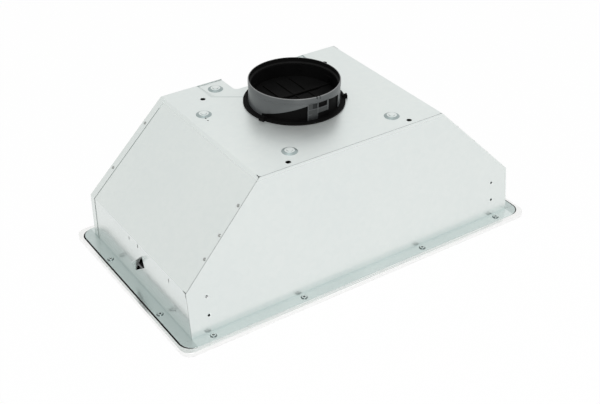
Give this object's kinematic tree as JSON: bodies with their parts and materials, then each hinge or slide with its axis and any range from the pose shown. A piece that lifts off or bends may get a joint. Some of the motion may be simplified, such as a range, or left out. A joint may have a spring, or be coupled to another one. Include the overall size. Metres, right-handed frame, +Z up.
{
  "type": "range hood insert",
  "caption": "Sheet-metal range hood insert: tapered housing with a mounting flange, trim pan, round duct collar, blower, baffle filters, lamps and push buttons.",
  "frame": {"origin": "middle of the trim pan's underside, where the hood meets the cabinet's lower edge", "axes": "+X along the hood's long side, +Z up towards the duct collar, and the leaning front panel faces -Y"},
  "size_m": [0.8, 0.447, 0.318],
  "materials": {
    "galvanised": "galvanised sheet, grey-green with a soft sheen",
    "stainless": "brushed stainless sheet",
    "zinc_fastener": "zinc-plated steel",
    "black_moulding": "moulded black plastic, satin",
    "black_gloss": "glossy black plastic",
    "grey_plastic": "moulded dark grey plastic",
    "white_plastic": "moulded white plastic",
    "motor_paint": "black enamel",
    "filter_metal": "brushed aluminium baffles",
    "bright_rim": "polished rim",
    "lamp_glass": "frosted glass",
    "lamp_metal": "spun aluminium can"
  },
  "bodies": {
    "hood": {"housing_wrap": "galvanised", "front_panel": "galvanised", "back_panel": "galvanised", "back_recess": "galvanised", "trim_pan": "stainless", "slope_rivets": "zinc_fastener", "collar_base": "black_moulding", "collar_ring": "black_moulding", "damper_pin": "zinc_fastener", "scroll_wrapper": "galvanised", "scroll_side_left": "galvanised", "scroll_side_right": "galvanised", "inlet_ring_left": "galvanised", "inlet_ring_right": "galvanised", "motor_can": "motor_paint", "motor_bracket": "galvanised", "motor_arms": "galvanised", "motor_screws": "zinc_fastener", "capacitor": "white_plastic", "capacitor_clip": "galvanised", "wiring_box": "galvanised", "wiring_cover": "galvanised", "terminal_block": "white_plastic", "cable_gland": "grey_plastic", "control_bezel": "black_gloss", "control_housing": "grey_plastic", "lamp_bezel_left": "bright_rim", "lamp_lens_left": "lamp_glass", "lamp_can_left": "lamp_metal", "lamp_bezel_right": "bright_rim", "lamp_lens_right": "lamp_glass", "lamp_can_right": "lamp_metal"},
    "damper_front": {"damper_flap_front": "black_moulding"},
    "damper_back": {"damper_flap_back": "black_moulding"},
    "blower": {"blower_wheel": "galvanised", "motor_shaft": "zinc_fastener"},
    "filter_left": {"filter_frame_left": "filter_metal", "filter_baffles_left": "filter_metal"},
    "filter_right": {"filter_frame_right": "filter_metal", "filter_baffles_right": "filter_metal"},
    "latch_left": {"filter_latch_left": "zinc_fastener"},
    "latch_right": {"filter_latch_right": "zinc_fastener"},
    "light_key": {"light_button": "black_gloss"},
    "off_key": {"off_button": "black_gloss"},
    "low_key": {"low_button": "black_gloss"},
    "medium_key": {"medium_button": "black_gloss"},
    "high_key": {"high_button": "black_gloss"}
  },
  "joints": [
    {"name": "damper_front_hinge", "type": "hinge", "parent": "hood", "child": "damper_front", "pos_m": [0, 0.0378, 0.282], "axis": [-1, 0, 0], "range_deg": [0, 75]},
    {"name": "damper_back_hinge", "type": "hinge", "parent": "hood", "child": "damper_back", "pos_m": [0, 0.0378, 0.282], "axis": [1, 0, 0], "range_deg": [0, 75]},
    {"name": "wheel_spin", "type": "hinge", "parent": "hood", "child": "blower", "pos_m": [0, 0, 0.126], "axis": [1, 0, 0], "continuous": true},
    {"name": "filter_left_hinge", "type": "hinge", "parent": "hood", "child": "filter_left", "pos_m": [-0.177, 0.1718, 0.00615], "axis": [1, 0, 0], "range_deg": [0, 40]},
    {"name": "latch_left_slide", "type": "slide", "parent": "filter_left", "child": "latch_left", "axis": [0, 1, 0], "range_m": [0, 0.004], "stiffness_N_per_m": 500, "springref_m": -0.002},
    {"name": "filter_right_hinge", "type": "hinge", "parent": "hood", "child": "filter_right", "pos_m": [0.177, 0.1718, 0.00615], "axis": [1, 0, 0], "range_deg": [0, 40]},
    {"name": "latch_right_slide", "type": "slide", "parent": "filter_right", "child": "latch_right", "axis": [0, 1, 0], "range_m": [0, 0.004], "stiffness_N_per_m": 500, "springref_m": -0.002},
    {"name": "light_press", "type": "slide", "parent": "hood", "child": "light_key", "axis": [0, 0, 1], "range_m": [0, 0.0025], "stiffness_N_per_m": 400, "springref_m": -0.002},
    {"name": "off_press", "type": "slide", "parent": "hood", "child": "off_key", "axis": [0, 0, 1], "range_m": [0, 0.0025], "stiffness_N_per_m": 400, "springref_m": -0.002},
    {"name": "low_press", "type": "slide", "parent": "hood", "child": "low_key", "axis": [0, 0, 1], "range_m": [0, 0.0025], "stiffness_N_per_m": 400, "springref_m": -0.002},
    {"name": "medium_press", "type": "slide", "parent": "hood", "child": "medium_key", "axis": [0, 0, 1], "range_m": [0, 0.0025], "stiffness_N_per_m": 400, "springref_m": -0.002},
    {"name": "high_press", "type": "slide", "parent": "hood", "child": "high_key", "axis": [0, 0, 1], "range_m": [0, 0.0025], "stiffness_N_per_m": 400, "springref_m": -0.002}
  ]
}
